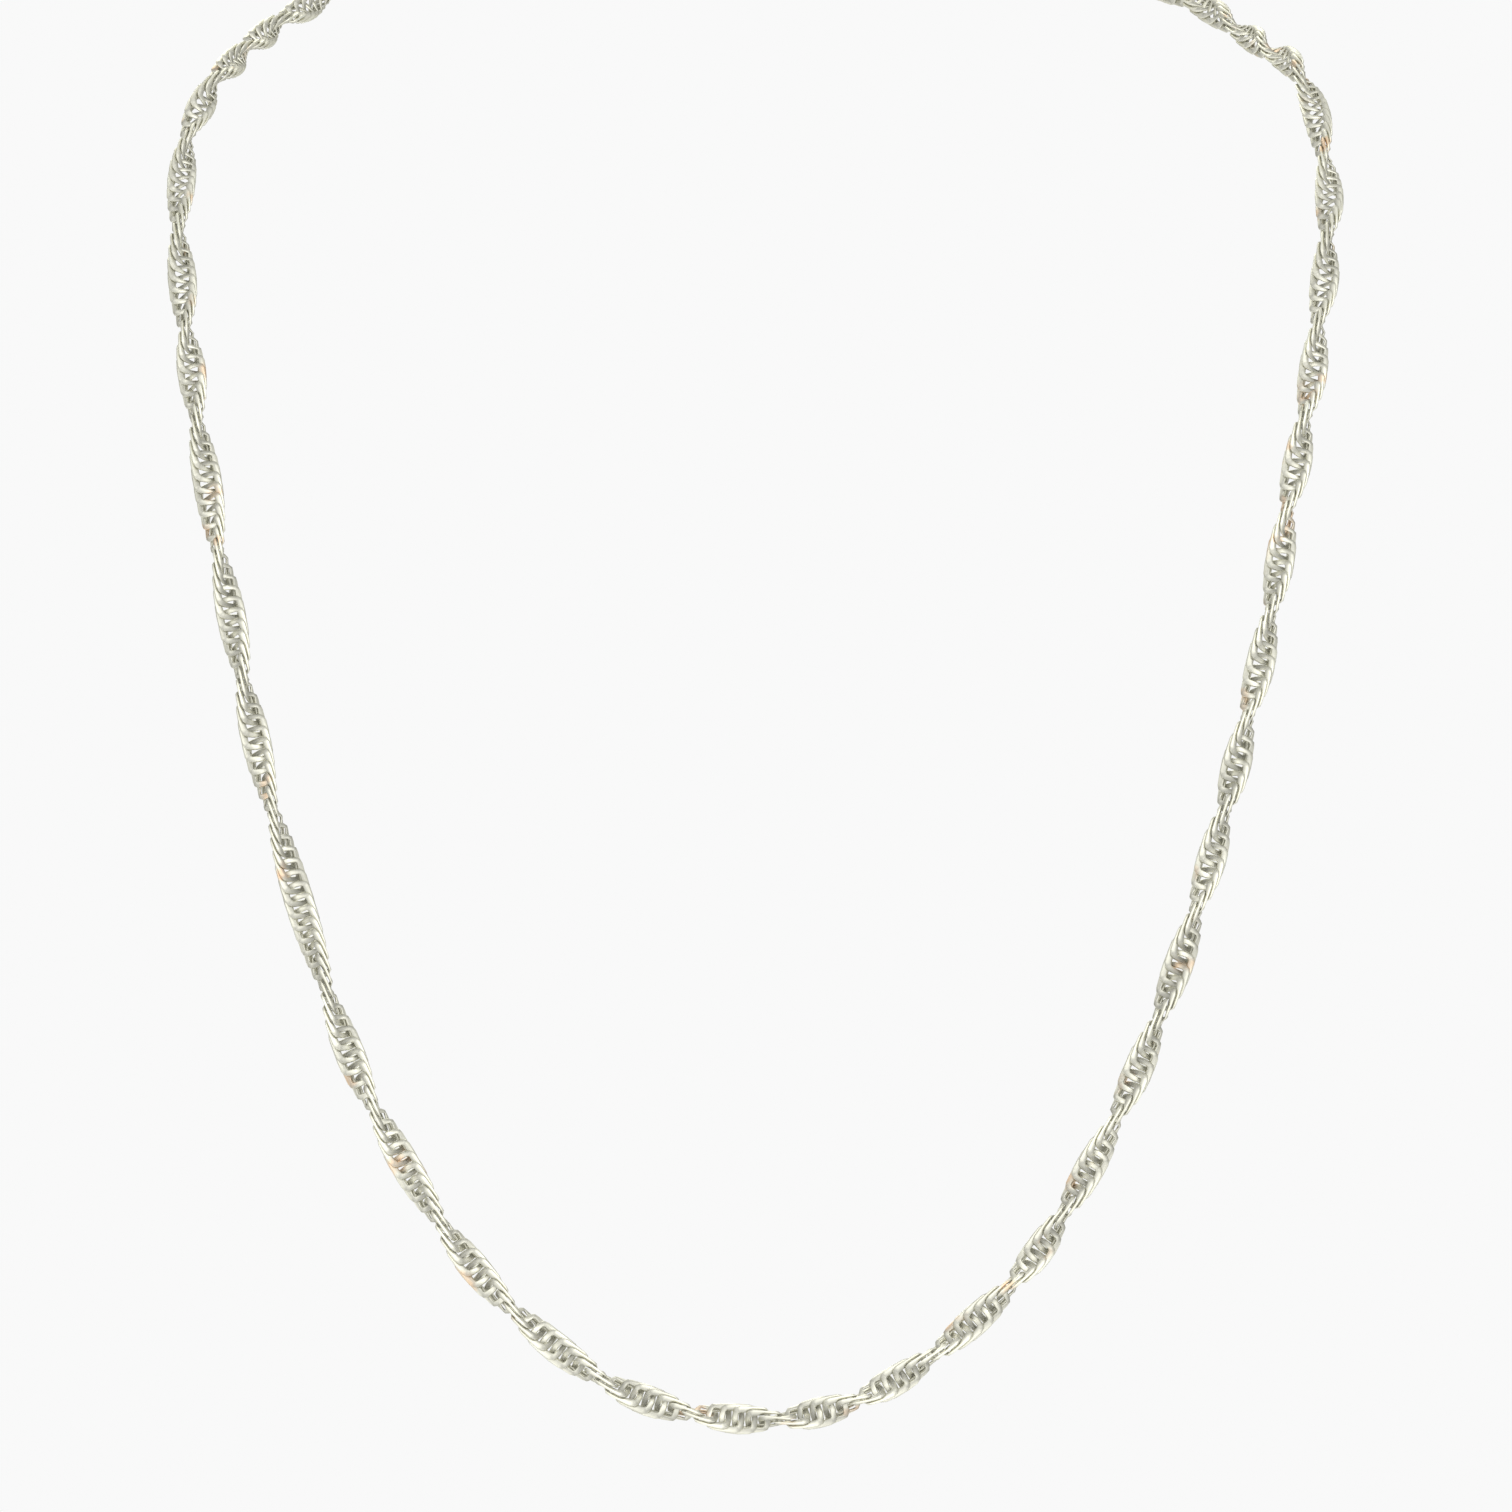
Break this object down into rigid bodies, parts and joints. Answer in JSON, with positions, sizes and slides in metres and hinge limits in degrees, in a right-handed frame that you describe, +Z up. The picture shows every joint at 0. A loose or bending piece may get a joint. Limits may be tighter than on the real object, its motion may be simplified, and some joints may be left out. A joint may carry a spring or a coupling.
{
  "type": "necklace",
  "caption": "Fine necklace of twisted curb links that spiral round the loop, shown in its worn form, closed at the nape with a small ring clasp.",
  "frame": {"origin": "nape of the neck, in the middle of the clasp ring, where the necklace is held up when it is worn", "axes": "+Z up, -Y to the front of the wearer, +X to the right in a view from the front"},
  "size_m": [0.106, 0.0991, 0.1422],
  "materials": {
    "chain_silver": "polished",
    "clasp_silver": "polished"
  },
  "bodies": {
    "root": {"chain": "chain_silver", "clasp": "clasp_silver"}
  },
  "joints": []
}
